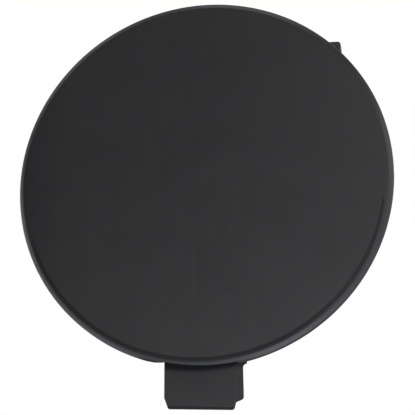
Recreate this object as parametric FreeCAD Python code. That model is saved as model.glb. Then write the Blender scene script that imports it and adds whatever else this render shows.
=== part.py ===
"""Bumper tow hook cover: a round snap-in cap, moulded in one piece.

X runs to the right, Z up and Y into the bumper, so the outer face looks along -Y.
The origin is the centre of the seat, the flat ring that lies on the bumper skin at y = 0.
All sizes are in millimetres.
"""

import FreeCAD, Part
import math
import os

from FreeCAD import Vector

# Front plate
cover_radius = 35.0        # rim, at its widest
face_edge_inset = 1.38     # from the rim in to where the crowned face ends
rim_depth = 2.05           # seat to face edge
crown_height = 0.6         # how far the middle of the face stands out past its edge
rim_turn_radius = 0.9      # round between the face and the bevel outside it
rim_bevel_degrees = 38     # how far the bevel falls away from the face
rim_corner_radius = 0.3    # round between the bevel and the side of the rim
seat_edge_chamfer = 0.2    # between that side and the seat
plate_wall = 2.1           # thickness in the middle; the inside of the plate is flat
relief_depth_left = 1.47   # notch in the back of the rim, in front of the tongue
relief_depth_right = 1.34
relief_margin = 0.6        # how much wider than the tongue the notch is at its deepest, on each side
relief_ramp_left = 3.2     # its ends slope out to the seat over this length
relief_ramp_right = 1.6

# Collar that enters the round opening of the bumper
seat_width = 1.8           # from the rim in to the collar
collar_wall = 1.6
collar_depth = 6.6
collar_draft = 0.15        # how much the wall thins on each side towards the mouth
collar_lead = 0.5          # chamfer round the outside of the mouth

# Stiffening ribs on the back of the plate
rib_thickness = 1.2
rib_height = 1.5           # above the seat plane
rib_ring_radius = 12.0
rib_step_degrees = 45
rib_degrees_skipped = (45, 135)   # the snap hooks stand here

# Locating tongue at the bottom, a channel open to the back that reaches behind the bumper skin
tongue_width = 13.25
tongue_centre = -0.52
tongue_reach = 6.8         # how far the tip stands out past the rim
tongue_front = 3.0         # its front face lies this far behind the seat: room for the bumper skin
tongue_plate = 2.2
tongue_cheek = 1.7
cheek_depth = 6.8          # front face to the back of the cheeks, at the collar
cheek_slope_degrees = 13.5 # the cheeks get deeper towards their lower end
lip_length = 1.0           # thin lip across the tip, past the ends of the cheeks
cheek_rise = 2.1           # how much shorter the cheeks are at the back than at the front
cheek_corner_radius = 0.7
lip_thickness = 1.0
lip_bevel_length = 0.45    # bevel across the front of the lip
lip_bevel_depth = 0.2
tip_taper_left = 0.75      # sides of the tip, drawn in for entry
tip_taper_left_length = 2.1
tip_taper_right = 0.55
tip_taper_right_length = 2.2
tip_slant = 0.26           # how much further the right end of the tip reaches than the left
tip_corner_radius = 0.6
root_fillet = 0.5
foot_margin = 0.9          # the root follows the collar this far past each side of the tongue

# Pair of snap hooks at the top
hook_corner_degrees = 50.98   # outer corner of each leg, counted from the top of the cover
hook_corner_inset = 0.15   # from the outside of the collar in to that corner
hook_width = 9.3           # at that corner
hook_draft_degrees = 4.0   # its sides draw in towards the catch
hook_rise = 7.77           # from that corner up to the top of the catch
hook_catch = 5.0           # distance of the catch face behind the seat
hook_leg_thickness = 1.8
hook_arm_thickness = 2.1
hook_land = 0.7            # flat on top of the catch
hook_slope_degrees = 40.0  # slope of the arm, which is the lead-in
hook_bend_radius = 2.0     # middle line of the bend at the back
hook_edge_radius = 0.25
hook_corner_radius = 0.6   # at both ends of the catch
hook_root_fillet = 0.8
hook_slot_gap = 1.3        # clearance in the collar on each side of a hook

root_overlap = 0.8         # how deep a wall starts inside the plate that it stands on
beyond = 1.0               # how far a cutting solid runs past what it cuts

# The crowned face is part of a large sphere
face_edge_radius = cover_radius - face_edge_inset
crown_radius = (face_edge_radius ** 2 + crown_height ** 2) / (2 * crown_height)
crown_centre = crown_radius - rim_depth - crown_height
plate_inside = plate_wall - rim_depth - crown_height
collar_radius = cover_radius - seat_width
collar_inner = collar_radius - collar_wall
collar_middle = collar_radius - collar_wall / 2
bevel_angle = math.radians(rim_bevel_degrees)
root_start = plate_inside - root_overlap
tongue_tip = cover_radius + tongue_reach
cheek_corner_z = lip_length + cheek_rise - tongue_tip
cheek_back_root = tongue_front + cheek_depth
cheek_slope = math.tan(math.radians(cheek_slope_degrees))
cheek_back_end = cheek_back_root - cheek_slope * (cheek_corner_z + collar_inner)
hook_corner_angle = math.radians(hook_corner_degrees)
hook_outer = (collar_radius - hook_corner_inset) * math.sin(hook_corner_angle)
hook_leg_top = (collar_radius - hook_corner_inset) * math.cos(hook_corner_angle)
hook_leg_middle = hook_leg_top - hook_leg_thickness / 2
hook_top = hook_leg_top + hook_rise
hook_draft = math.tan(math.radians(hook_draft_degrees))

axis_start = Vector(0, 0, 0)
axis_way = Vector(0, 1, 0)


def crown_y(radius):
    """Where the crowned face is, at this distance from the cover's axis."""
    return crown_centre - math.sqrt(crown_radius ** 2 - radius ** 2)


def outline(start, *steps):
    """Face inside a closed loop. A step is a corner, or the middle and the end of an arc."""
    edges = []
    here = start
    for step in steps + (start,):
        if isinstance(step, tuple):
            middle, end = step
            edges.append(Part.Arc(here, middle, end).toShape())
        else:
            end = step
            edges.append(Part.makeLine(here, end))
        here = end
    return Part.Face(Part.Wire(edges))


def rounded(before, corner, after, radius):
    """Start, middle and end of the round that replaces a corner between two straight lines."""
    back = (before - corner).normalize()
    onward = (after - corner).normalize()
    half_angle = back.getAngle(onward) / 2
    inward = (back + onward).normalize()
    setback = radius / math.tan(half_angle)
    middle = corner + inward * (radius / math.sin(half_angle) - radius)
    return corner + back * setback, middle, corner + onward * setback


def turned(face):
    return face.revolve(axis_start, axis_way, 360)


def extruded_along_x(face, low, high):
    """Solid from a face in the YZ plane, between two values of X."""
    face.translate(Vector(low, 0, 0))
    return face.extrude(Vector(high - low, 0, 0))


def front_plate():
    """Crowned disc with a bevelled rim and a flat seat outside the collar."""
    face_middle = Vector(0, crown_y(0), 0)
    face_half = Vector(face_edge_radius / 2, crown_y(face_edge_radius / 2), 0)
    face_edge = Vector(face_edge_radius, -rim_depth, 0)
    face_tilt = math.asin(face_edge_radius / crown_radius)
    turn_centre = face_edge + Vector(-math.sin(face_tilt), math.cos(face_tilt), 0) * rim_turn_radius
    turn_middle, turn_end = [
        turn_centre + Vector(math.sin(tilt), -math.cos(tilt), 0) * rim_turn_radius
        for tilt in ((face_tilt + bevel_angle) / 2, bevel_angle)
    ]
    bevel_rise = (cover_radius - turn_end.x) * math.tan(bevel_angle)
    rim_corner = Vector(cover_radius, turn_end.y + bevel_rise, 0)
    side_end = Vector(cover_radius, -seat_edge_chamfer, 0)
    corner_start, corner_middle, corner_end = rounded(turn_end, rim_corner, side_end, rim_corner_radius)
    plate = turned(outline(
        face_middle,
        (face_half, face_edge),
        (turn_middle, turn_end),
        corner_start,
        (corner_middle, corner_end),
        side_end,
        Vector(cover_radius - seat_edge_chamfer, 0, 0),
        Vector(collar_middle, 0, 0),
        Vector(collar_middle, plate_inside, 0),
        Vector(0, plate_inside, 0),
    ))
    return plate.cut(rim_relief())


def rim_relief():
    """Notch in the back of the rim, with ramped ends, that deepens the groove in front of the tongue."""
    left = tongue_centre - tongue_width / 2 - relief_margin
    right = tongue_centre + tongue_width / 2 + relief_margin
    ramp_left = relief_ramp_left * (relief_depth_left + beyond) / relief_depth_left
    ramp_right = relief_ramp_right * (relief_depth_right + beyond) / relief_depth_right
    face = outline(
        Vector(left, -relief_depth_left, -tongue_tip),
        Vector(right, -relief_depth_right, -tongue_tip),
        Vector(right + ramp_right, beyond, -tongue_tip),
        Vector(left - ramp_left, beyond, -tongue_tip),
    )
    return face.extrude(Vector(0, 0, tongue_tip - collar_radius))


def hook_sides():
    """Lower and upper X of each of the two hooks, at the outer corner of its leg."""
    return [
        (hook_outer - hook_width, hook_outer),
        (-hook_outer, hook_width - hook_outer),
    ]


def collar():
    """Round wall, straight where the bumper skin lies, then with draft to a chamfered mouth."""
    mouth_outer = collar_radius - collar_draft
    mouth_inner = collar_inner + collar_draft
    wall = turned(outline(
        Vector(collar_inner, root_start, 0),
        Vector(collar_radius, root_start, 0),
        Vector(collar_radius, tongue_front, 0),
        Vector(mouth_outer, collar_depth - collar_lead, 0),
        Vector(mouth_outer - collar_lead, collar_depth, 0),
        Vector(mouth_inner, collar_depth, 0),
        Vector(collar_inner, plate_inside, 0),
    ))
    for low, high in hook_sides():
        slot = Part.makeBox(
            high - low + 2 * hook_slot_gap,
            collar_depth + beyond,
            cover_radius,
            Vector(low - hook_slot_gap, 0, 0),
        )
        wall = wall.cut(slot)
    return wall


def stiffening_ribs():
    """Ring round the middle and spokes from it to the collar."""
    height = rib_height - root_start
    base = Vector(0, root_start, 0)
    ring_outside = Part.makeCylinder(rib_ring_radius + rib_thickness / 2, height, base, axis_way)
    ring_inside = Part.makeCylinder(rib_ring_radius - rib_thickness / 2, height, base, axis_way)
    ribs = [ring_outside.cut(ring_inside)]
    for degrees in range(0, 360, rib_step_degrees):
        if degrees in rib_degrees_skipped:
            continue
        spoke = Part.makeBox(
            collar_middle - rib_ring_radius,
            height,
            rib_thickness,
            Vector(rib_ring_radius, root_start, -rib_thickness / 2),
        )
        spoke.rotate(axis_start, axis_way, -degrees)
        ribs.append(spoke)
    return ribs


def root_flare(side_x, direction):
    """Concave fillet between a side of the tongue and the collar: on the side, middle, on the collar."""
    centre_x = side_x + direction * root_fillet
    reach = collar_radius + root_fillet
    centre = Vector(centre_x, 0, -math.sqrt(reach ** 2 - centre_x ** 2))
    on_side = Vector(side_x, 0, centre.z)
    to_collar = centre * (collar_radius / reach)
    towards = (on_side - centre) + (to_collar - centre)
    return on_side, centre + towards.normalize() * root_fillet, to_collar


def on_collar(x):
    """Point on the outside of the collar's lower half."""
    return Vector(x, 0, -math.sqrt(collar_radius ** 2 - x ** 2))


def tongue():
    """Channel of a front plate and two cheeks, with a tapered lip and raked cheek ends."""
    left = tongue_centre - tongue_width / 2
    right = tongue_centre + tongue_width / 2
    foot_left = left - foot_margin
    foot_right = right + foot_margin
    depth = max(cheek_back_root, cheek_back_end) - tongue_front
    left_side, left_flare, left_collar = root_flare(left, -1)
    right_side, right_flare, right_collar = root_flare(right, 1)
    taper_left = Vector(left, 0, tip_taper_left_length - tongue_tip)
    taper_right = Vector(right, 0, tip_taper_right_length - tongue_tip)
    tip_left = Vector(left + tip_taper_left, 0, tip_slant / 2 - tongue_tip)
    tip_right = Vector(right - tip_taper_right, 0, -tip_slant / 2 - tongue_tip)
    corner_start, corner_middle, corner_end = rounded(tip_left, tip_right, taper_right, tip_corner_radius)
    inside_z = collar_wall - math.sqrt(collar_inner ** 2 - foot_left ** 2)
    face = outline(
        Vector(foot_left, 0, inside_z),
        on_collar(foot_left),
        (on_collar((foot_left + left_collar.x) / 2), left_collar),
        (left_flare, left_side),
        taper_left,
        tip_left,
        corner_start,
        (corner_middle, corner_end),
        taper_right,
        right_side,
        (right_flare, right_collar),
        (on_collar((foot_right + right_collar.x) / 2), on_collar(foot_right)),
        Vector(foot_right, 0, inside_z),
    )
    face.translate(Vector(0, tongue_front, 0))
    block = face.extrude(Vector(0, depth, 0))

    channel_width = tongue_width - 2 * tongue_cheek
    channel = Part.makeBox(
        channel_width,
        depth,
        tongue_tip - collar_radius + beyond,
        Vector(tongue_centre - channel_width / 2, tongue_front + tongue_plate, -tongue_tip - beyond),
    )
    inside_collar = Part.makeCylinder(
        collar_inner + collar_draft, depth + 2 * beyond, Vector(0, tongue_front - beyond, 0), axis_way
    )
    waste = [channel, inside_collar, cheek_waste(foot_left, foot_right), lip_bevel(left, right)]
    return block.cut(waste)


def cheek_waste(left, right):
    """What is cut away behind the lip and behind the raked and sloping backs of the cheeks."""
    rake = cheek_rise / (cheek_back_end - tongue_front)
    lip_back = tongue_front + lip_thickness
    far = max(cheek_back_root, cheek_back_end) + beyond
    low = -tongue_tip - beyond
    lip_top = Vector(0, lip_back, lip_length - tongue_tip + rake * lip_thickness)
    corner = Vector(0, cheek_back_end, cheek_corner_z)
    back_top = Vector(0, cheek_back_root, -collar_inner)
    round_start, round_middle, round_end = rounded(lip_top, corner, back_top, cheek_corner_radius)
    face = outline(
        lip_top,
        round_start,
        (round_middle, round_end),
        back_top,
        Vector(0, cheek_back_root, beyond - collar_inner),
        Vector(0, far, beyond - collar_inner),
        Vector(0, far, low),
        Vector(0, lip_back, low),
    )
    return extruded_along_x(face, left - beyond, right + beyond)


def lip_bevel(left, right):
    """Wedge cut from the front of the lip, so that it finds its way behind the bumper skin."""
    low = -tongue_tip - beyond
    steepness = lip_bevel_depth / lip_bevel_length
    face = outline(
        Vector(0, tongue_front, lip_bevel_length - tongue_tip),
        Vector(0, tongue_front + steepness * (lip_bevel_length + beyond), low),
        Vector(0, tongue_front, low),
    )
    return extruded_along_x(face, left - beyond, right + beyond)


def hook(low, high):
    """Leg that stands on the plate, bends back on itself and ends in a catch."""
    slope = math.radians(hook_slope_degrees)
    along_arm = Vector(0, -math.cos(slope), math.sin(slope))
    off_arm = Vector(0, math.sin(slope), math.cos(slope))
    off_leg = Vector(0, 0, -1)
    off_both = (off_arm + off_leg).normalize()
    bend_outer = hook_bend_radius + hook_leg_thickness / 2
    bend_inner = hook_bend_radius - hook_leg_thickness / 2

    # The outside of the bend runs on into the leg at one end and into the arm's slope at the other
    land_back = Vector(0, hook_catch + hook_land, hook_top)
    bend_z = hook_leg_middle + hook_bend_radius
    run = ((hook_top - bend_z) * math.cos(slope) - bend_outer) / math.sin(slope)
    bend = Vector(0, land_back.y + run, bend_z)
    arm_back = bend + off_arm * (bend_outer - hook_arm_thickness)
    catch_low = arm_back + along_arm * ((arm_back.y - hook_catch) / math.cos(slope))
    catch_high = Vector(0, hook_catch, hook_top)
    nose_start, nose_middle, nose_end = rounded(land_back, catch_high, catch_low, hook_edge_radius)

    leg_in = hook_leg_top - hook_leg_thickness
    leg_out = hook_leg_top
    flare_low = leg_in - hook_root_fillet
    flare_high = leg_out + hook_root_fillet
    flare_end = plate_inside + hook_root_fillet
    bow = hook_root_fillet * (1 - math.sqrt(0.5))
    bow_end = plate_inside + bow
    face = outline(
        Vector(0, root_start, flare_low),
        Vector(0, plate_inside, flare_low),
        (Vector(0, bow_end, leg_in - bow), Vector(0, flare_end, leg_in)),
        bend + off_leg * bend_outer,
        (bend + off_both * bend_outer, bend + off_arm * bend_outer),
        land_back,
        nose_start,
        (nose_middle, nose_end),
        catch_low,
        arm_back,
        bend + off_arm * bend_inner,
        (bend + off_both * bend_inner, bend + off_leg * bend_inner),
        Vector(0, flare_end, leg_out),
        (Vector(0, bow_end, leg_out + bow), Vector(0, plate_inside, flare_high)),
        Vector(0, root_start, flare_high),
    )
    drafted = drafted_sides(low, high, flare_low, bend.y + bend_outer + beyond)
    flare = hook_draft * (leg_out - flare_low)
    return extruded_along_x(face, low - flare, high + flare).common(drafted)


def drafted_sides(low, high, bottom, back):
    """Block whose sides draw in towards the catch, with its two top corners rounded."""
    flare = hook_draft * (hook_leg_top - bottom)
    draw = hook_draft * hook_rise
    bottom_left = Vector(low - flare, 0, bottom)
    bottom_right = Vector(high + flare, 0, bottom)
    top_left = Vector(low + draw, 0, hook_top)
    top_right = Vector(high - draw, 0, hook_top)
    right_start, right_middle, right_end = rounded(bottom_right, top_right, top_left, hook_corner_radius)
    left_start, left_middle, left_end = rounded(top_right, top_left, bottom_left, hook_corner_radius)
    face = outline(
        bottom_left,
        bottom_right,
        right_start,
        (right_middle, right_end),
        left_start,
        (left_middle, left_end),
    )
    face.translate(Vector(0, root_start, 0))
    return face.extrude(Vector(0, back - root_start, 0))


def cover():
    pieces = [collar(), tongue()]
    pieces += stiffening_ribs()
    pieces += [hook(low, high) for low, high in hook_sides()]
    return front_plate().multiFuse(pieces).removeSplitter()


os.makedirs("parts", exist_ok=True)
cover().Solids[0].exportStep("parts/tow_hook_cover.step")
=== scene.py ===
import math
from typing import NamedTuple

import bmesh
import bpy
from bpy.props import FloatProperty, FloatVectorProperty, IntProperty, PointerProperty
from bpy.types import Operator, Panel, PropertyGroup
from mathutils import Matrix, Vector


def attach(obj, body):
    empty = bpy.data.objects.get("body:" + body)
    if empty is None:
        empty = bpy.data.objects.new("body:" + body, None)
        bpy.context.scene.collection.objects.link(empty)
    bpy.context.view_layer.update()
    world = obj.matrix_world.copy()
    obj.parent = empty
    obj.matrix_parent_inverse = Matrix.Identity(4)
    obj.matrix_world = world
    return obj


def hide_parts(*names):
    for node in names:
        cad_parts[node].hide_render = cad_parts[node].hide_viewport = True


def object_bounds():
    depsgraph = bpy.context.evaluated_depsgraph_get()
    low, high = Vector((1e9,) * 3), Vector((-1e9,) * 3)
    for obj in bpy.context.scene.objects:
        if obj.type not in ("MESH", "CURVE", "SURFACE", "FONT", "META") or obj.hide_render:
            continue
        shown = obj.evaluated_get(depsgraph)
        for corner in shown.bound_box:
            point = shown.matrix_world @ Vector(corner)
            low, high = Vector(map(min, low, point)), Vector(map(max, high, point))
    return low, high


bl_info = {
    "name": "Bumper Tow Hook Cover",
    "version": (1, 0, 0),
    "blender": (4, 5, 0),
    "location": "View3D > Sidebar > Tow Hook Cover",
    "description": "Adds a moulded snap-in cover for the tow hook opening of a bumper, and a studio for it",
    "category": "Add Mesh",
}

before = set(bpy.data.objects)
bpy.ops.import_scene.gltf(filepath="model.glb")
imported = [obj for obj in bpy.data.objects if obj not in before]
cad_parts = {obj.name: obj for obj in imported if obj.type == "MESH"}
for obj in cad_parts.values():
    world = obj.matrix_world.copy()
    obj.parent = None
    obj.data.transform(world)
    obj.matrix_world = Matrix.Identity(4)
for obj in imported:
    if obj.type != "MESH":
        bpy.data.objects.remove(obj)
frame_low, frame_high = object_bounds()

COVER_NODE = "tow_hook_cover"
COVER_BODY = "root"
MOULDING_NAME = "tow_hook_cover_moulding"
PLATE_FORM = "front_plate_form"
COLLAR_FORM = "collar_form"
RIBS_FORM = "stiffening_ribs_form"
TONGUE_FORM = "tongue_form"
HOOKS_FORM = "snap_hooks_form"
FORMS = (PLATE_FORM, COLLAR_FORM, RIBS_FORM, TONGUE_FORM, HOOKS_FORM)

FULL_TURN = 2 * math.pi
MERGE_DISTANCE = 1e-6


class Lamp(NamedTuple):
    """Soft round lamp that faces the cover; azimuth 0 is in front of it and 90 at its right."""

    name: str
    azimuth: float
    elevation: float
    distance: float
    size: float
    power: float
    tint: tuple = (1.0, 1.0, 1.0)


LAMPS = (
    Lamp("front lamp", 15, -20, 0.8, 0.5, 2.9),
    Lamp("overhead lamp", 0, 88, 0.8, 0.5, 0.71),
    Lamp("upper left lamp", -90, 50, 0.8, 0.5, 0.63),
    Lamp("left rim lamp", -120, 0, 0.8, 0.5, 2.8),
    Lamp("right rim lamp", 100, 20, 0.35, 0.25, 0.44),
    Lamp("upper right lamp", 25, 30, 0.22, 0.12, 0.036),
    Lamp("right lamp", 80, -25, 0.22, 0.12, 0.045, (0.79, 0.85, 1.0)),
    Lamp("lower right lamp", 30, -50, 0.22, 0.12, 0.116, (0.79, 0.85, 1.0)),
    Lamp("back lamp", 180, 35, 0.8, 0.6, 2.0),
)


class Pattern(NamedTuple):
    """Noise as a share of a finish: it rises from least to most while the noise goes from low to high."""

    scale: float
    low: float
    high: float
    least: float
    most: float


MOTTLE = Pattern(60.0, 0.35, 0.7, 0.0, 0.22)
FINE_MOTTLE = Pattern(420.0, 0.3, 0.7, 0.0, 0.25)
TONGUE_BLOTCHES = Pattern(330.0, 0.35, 0.65, 0.25, 1.0)
FLOW_STREAKS = Pattern(1.0, 0.3, 0.7, 0.0, 0.5)
STREAK_SCALES = (850.0, 850.0, 30.0)

# Places between which a finish sets in: heights, and X for the left margin.
STREAKS_SET_IN = (0.006, -0.012)
LOWEST_SETS_IN = (-0.012, -0.026)
TONGUE_SETS_IN = (-0.0335, -0.036)
MARGIN_SHADE_SETS_IN = (-0.024, -0.0345)
CREASE_SETS_IN_LEFT = (-0.004, -0.014)
CREASE_MOVES_IN = (-0.012, -0.022, 0.0, 0.00012)  # from none to its most, between two places along X
CREASE_STRENGTH = (0.016, 0.026, 0.76, 0.64)  # from the first to the second, between two places along X
CREASE_INSET = 0.00018
CREASE_EDGE = (1.15, 0.4)  # in halves of the line's width
SATIN_SCALE = 190.0
SATIN_NOISE = (0.3, 0.7)
# The next two place the painted highlight along the rim's edge: along its way round the rim, in radii, and
# towards the right.
HIGHLIGHT_ROUND_RIM = (0.4, 0.9)  # along the rubbed way, in radii
HIGHLIGHT_AT_RIGHT = (0.004, 0.014, 0.0, 0.13)
SHADE_REACH = (0.0026, 0.0012)
SHADE_LEAN = 0.05  # the shade reaches this much less far for each metre to the right
SHADE_LEAN_BACK = 0.07  # and for each metre behind the tongue's front

# Distances from a place of the cover, between which a finish sets in.
# The next two place the painted shade line in the turn of the rim.
CREASE_PAST_TOP = (0.0003, -0.0006)
CREASE_PAST_SEAT = (-0.0005, -0.001)
SHADE_PAST_RIM = (-0.0001, 0.0003)
SHADE_PAST_COLLAR = (-0.0003, -0.0001)
SHADE_ABOVE_FOOT = (0.006, 0.003)
SHADE_BESIDE_TONGUE = (0.005, 0.002)
SHADE_PAST_FRONT = (0.0014, 0.001)
SHADE_PAST_SIDE = (-0.0004, -0.0002)
# The next two place the painted shade along the tongue's tip.
TIP_HEIGHT = (0.00065, 0.0003)
TIP_PAST_FRONT = (0.0009, 0.0005)
# The next four place the painted highlight on the rim's edge and on the catches.
HIGHLIGHT_PAST_RIM = 0.00005
HIGHLIGHT_PAST_SEAT = (-0.0001, -0.0006)
CATCH_HIGHLIGHT_BELOW_TOP = (-0.003, -0.0015)
CATCH_HIGHLIGHT_HALF = (0.0006, 0.0001)

LOWEST_STRENGTH = 0.4
TONGUE_STRENGTH = 0.5
MARGIN_SHADE_STRENGTH = 0.75
TIP_SHADE_STRENGTH = 0.75
CATCH_HIGHLIGHT_STRENGTH = 0.2
SPECK_STRENGTH = 0.6
SPECK_SCALE = 95.0
SPECK_RADIUS = 0.02
SPECK_RARITY = 0.93
SHORT_EDGE_SHARE = 0.4
HOOK_SPOKES = (1, 3)
NORMAL_WEIGHT = 80
CAMERA_SIGHT = 20.0
FLOOR_SIDE = 16.0


def length(label, description, default):
    """A size in metres."""
    return FloatProperty(name=label, description=description, default=default, min=0.0,
                         precision=5, subtype="DISTANCE", unit="LENGTH")


def offset(label, description, default):
    """A place along one axis in metres, which can be negative."""
    return FloatProperty(name=label, description=description, default=default,
                         precision=5, subtype="DISTANCE", unit="LENGTH")


def angle(label, description, degrees):
    return FloatProperty(name=label, description=description, default=math.radians(degrees),
                         subtype="ANGLE", unit="ROTATION")


def share(label, description, default):
    return FloatProperty(name=label, description=description, default=default, min=0.0, max=1.0,
                         subtype="FACTOR")


def level(label, description, default):
    return FloatProperty(name=label, description=description, default=default, min=0.0)


def colour(label, description, default):
    return FloatVectorProperty(name=label, description=description, default=default,
                               size=3, min=0.0, max=1.0, subtype="COLOR")


def count(label, description, default, least):
    return IntProperty(name=label, description=description, default=default, min=least)


def group(kind, label, description):
    return PointerProperty(type=kind, name=label, description=description)


class TOWCOVER_PG_plate(PropertyGroup):
    """Sizes of the crowned front plate and its rim."""

    radius: length("Rim Radius", "Rim at its widest", (frame_high.x - frame_low.x) / 2)
    face_inset: length("Face Inset", "From the rim in to where the crowned face ends", 0.00138)
    rim_depth: length("Rim Depth", "Seat to face edge", 0.00205)
    crown: length("Crown Height", "How far the middle of the face stands out past its edge", 0.0006)
    turn: length("Turn Radius", "Round between the face and the bevel outside it", 0.0009)
    bevel: angle("Bevel", "How far the bevel falls away from the face", 38)
    rim_corner: length("Rim Corner", "Round between the bevel and the side of the rim", 0.0003)
    seat_edge: length("Back Edge", "Round between the rim and the seat", 0.0002)
    wall: length("Wall", "Thickness in the middle of the plate", 0.0021)
    relief_left: length("Left Notch Depth", "Depth of the notch in the back of the rim, at its left", 0.00147)
    relief_right: length("Right Notch Depth", "Depth of that notch at its right", 0.00134)
    relief_margin: length("Notch Margin", "The notch is at its deepest to this far past the tongue", 0.0006)
    ramp_left: length("Left Ramp", "Length of the slope at the notch's left end", 0.0031)
    bend_left: length("Left Bend", "How far from the tongue that slope bends", 0.0006)
    bend_depth: length("Bend Depth", "Depth of the notch at that bend", 0.0012)
    ramp_right: length("Right Ramp", "Length of the slope at the notch's right end", 0.0016)
    turn_steps: count("Turn Steps", "Flat steps in a full turn", 360, 24)


class TOWCOVER_PG_collar(PropertyGroup):
    """Sizes of the collar that enters the round opening."""

    seat_width: length("Rim Overhang", "From the rim in to the collar", 0.0018)
    wall: length("Wall", "Thickness of the collar at its root", 0.0016)
    depth: length("Depth", "Height of the collar above the seat", 0.0066)
    draft: length("Draft", "How much the wall thins on each side towards the mouth", 0.00015)
    lead: length("Lead", "Chamfer round the outside of the mouth", 0.0005)
    slot_gap: length("Hook Clearance", "Clearance on each side of a snap hook", 0.0013)
    edge: length("Edge Radius", "Round on the edges of the collar's mouth", 0.00018)


class TOWCOVER_PG_ribs(PropertyGroup):
    """Sizes of the ribs and the marks that moulding leaves on the back of the plate."""

    thickness: length("Thickness", "Thickness of each rib", 0.0012)
    height: length("Height", "Top of the ribs above the seat", 0.0015)
    ring_radius: length("Ring Radius", "Middle line of the round rib", 0.012)
    step: angle("Step", "Angle between spokes", 45)
    edge: length("Edge Radius", "Round on the ribs' edges", 0.00018)
    pin_radius: length("Ejector Radius", "Radius of an ejector pin's mark", 0.0022)
    pin_depth: length("Ejector Depth", "How deep an ejector pin's mark is", 0.00016)
    pin_circle: length("Ejector Circle", "Distance of the ejector marks from the middle", 0.0225)
    gate_radius: length("Gate Radius", "Radius of the sprue's stub in the middle", 0.0011)
    gate_height: length("Gate Height", "How far the sprue's stub stands out", 0.00045)


class TOWCOVER_PG_tongue(PropertyGroup):
    """Sizes of the locating tongue."""

    width: length("Width", "Width of the tongue", 0.01325)
    centre: offset("Centre", "Middle of the tongue, from the middle of the cover", -0.00052)
    reach: length("Reach", "How far the tip stands out past the rim", 0.0068)
    front: length("Front", "How far the front face lies behind the seat", 0.003)
    plate: length("Plate", "Thickness of the front wall", 0.0022)
    cheek: length("Cheek", "Thickness of each side wall", 0.0017)
    depth: length("Depth", "Front face to the back of the cheeks, at the collar", 0.0068)
    slope: angle("Slope", "The cheeks get deeper towards their lower end", 13.5)
    rise: length("Rise", "How much shorter the cheeks are at the back than at the front", 0.0021)
    cheek_corner: length("Cheek Corner", "Round on the lower back corner of the cheeks", 0.0007)
    lip_length: length("Lip Length", "Thin lip across the tip, past the ends of the cheeks", 0.001)
    lip_thickness: length("Lip Thickness", "Thickness of the lip", 0.001)
    bevel_length: length("Bevel Length", "Bevel across the front of the lip, along the tongue", 0.00045)
    bevel_depth: length("Bevel Depth", "Bevel across the front of the lip, into it", 0.0002)
    taper_left: length("Left Taper", "How far the left side of the tip is drawn in", 0.00075)
    taper_left_length: length("Left Taper Length", "Length of that taper", 0.0021)
    taper_right: length("Right Taper", "How far the right side of the tip is drawn in", 0.00055)
    taper_right_length: length("Right Taper Length", "Length of that taper", 0.0022)
    tip_corner: length("Tip Corner", "Round at the right of the tip", 0.0006)
    tip_slant: length("Tip Slant", "How much further the right end of the tip reaches than the left", 0.00026)
    root_fillet: length("Root Fillet", "Fillet between the tongue and the collar", 0.0007)
    foot: length("Foot", "The root follows the collar this far past each side", 0.00075)
    edge: length("Edge Radius", "Round on the tongue's edges, held back by short sides next to them", 0.00016)
    draft_left: length("Left Draft", "The side lies this much further left at the root", 0.00012)


class TOWCOVER_PG_hooks(PropertyGroup):
    """Sizes of the pair of snap hooks."""

    corner_angle: angle("Corner Angle", "Outer corner of each leg, counted from the top of the cover", 50.98)
    corner_inset: length("Corner Inset", "From the outside of the collar in to that corner", 0.00015)
    width: length("Width", "Width of each hook at that corner", 0.0093)
    draft: angle("Draft", "The sides draw in towards the catch", 4)
    rise: length("Rise", "From the leg's outer corner up to the top of the catch", 0.00777)
    catch: length("Catch", "Distance of the catch face behind the seat", 0.005)
    leg: length("Leg", "Thickness of the leg", 0.0018)
    arm: length("Arm", "Thickness of the arm", 0.0021)
    land: length("Land", "Flat on top of the catch", 0.0007)
    slope: angle("Slope", "Slope of the arm, which is the lead-in", 40)
    bend: length("Bend", "Middle line of the bend at the back", 0.002)
    root_fillet: length("Root Fillet", "Fillet between a leg and the plate", 0.0008)
    edge: length("Edge Radius", "Round on the hooks' edges, held back by short sides next to them", 0.0003)
    corner: length("Corner Radius", "Round at both ends of the catch", 0.0006)


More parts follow.
